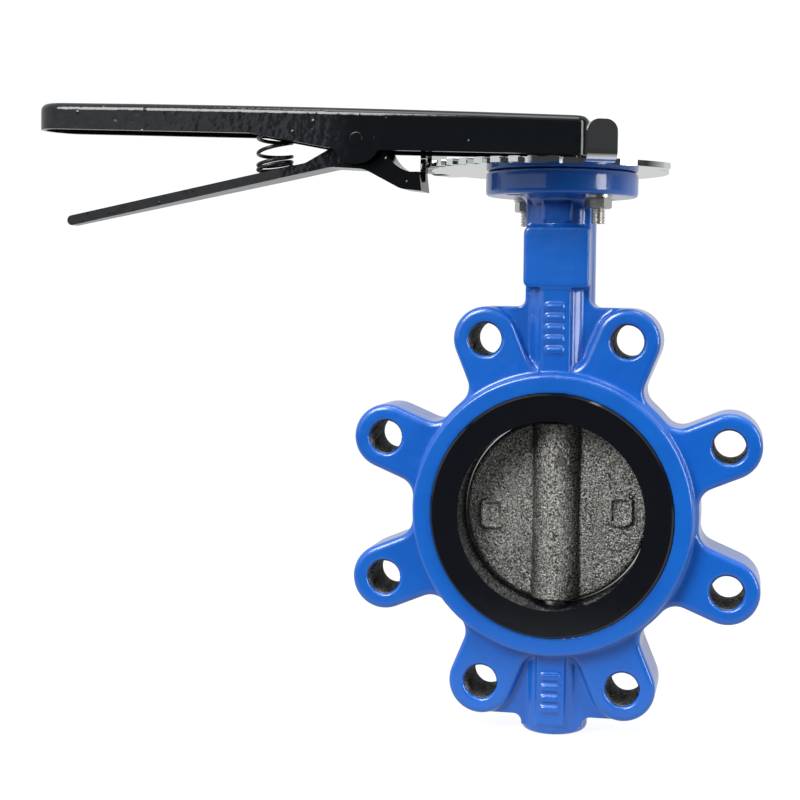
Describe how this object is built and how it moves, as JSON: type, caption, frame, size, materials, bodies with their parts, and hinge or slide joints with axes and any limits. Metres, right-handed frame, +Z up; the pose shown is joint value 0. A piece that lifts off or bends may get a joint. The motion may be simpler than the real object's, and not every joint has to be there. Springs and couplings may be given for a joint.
{
  "type": "butterfly valve",
  "caption": "Lug-type butterfly valve with a rubber seat, a centric disc on a through stem, and a hand lever whose sprung trigger latches into a notch plate.",
  "frame": {"origin": "centre of the pipe bore, at mid width", "axes": "+Z up the stem, +Y along the pipe; the lever points to -X when the valve is closed"},
  "size_m": [0.3284, 0.1119, 0.2724],
  "materials": {
    "blue_epoxy": "glossy blue epoxy coat over cast iron",
    "seat_rubber": "smooth black moulded rubber",
    "cast_nickel": "coarse sand-cast surface with bright nickel plating",
    "stainless": "turned stainless steel",
    "bright_plate": "bright plated sheet steel",
    "black_paint": "glossy black paint with a slight orange peel",
    "black_spring": "black coated spring wire",
    "bushing_polymer": "natural bearing polymer",
    "seal_rubber": "black seal rubber"
  },
  "bodies": {
    "body_assembly": {"valve_body": "blue_epoxy", "seat": "seat_rubber", "upper_bushing": "bushing_polymer", "middle_bushing": "bushing_polymer", "bottom_bushing": "bushing_polymer", "thrust_washer": "stainless", "notch_plate": "bright_plate", "plate_bolts": "stainless", "plate_washers": "stainless", "plate_nuts": "stainless"},
    "lever_and_disc": {"stem": "stainless", "disc": "cast_nickel", "disc_taper_pin": "stainless", "stem_seals": "seal_rubber", "stem_circlip": "stainless", "lever_handle": "black_paint", "lever_hub": "black_paint", "lever_screw": "stainless", "trigger_pivot_pin": "black_paint", "trigger_spring": "black_spring"},
    "trigger": {"trigger_lever": "black_paint"}
  },
  "joints": [
    {"name": "lever_turn", "type": "hinge", "parent": "body_assembly", "child": "lever_and_disc", "pos_m": [0, 0, 0.1], "axis": [0, 0, 1], "range_deg": [0, 90]},
    {"name": "trigger_squeeze", "type": "hinge", "parent": "lever_and_disc", "child": "trigger", "pos_m": [-0.0888, 0, 0.16], "axis": [0, 1, 0], "range_deg": [0, 15], "stiffness_Nm_per_rad": 2.5, "springref_deg": -8.59, "deforming": ["trigger_spring"]}
  ]
}
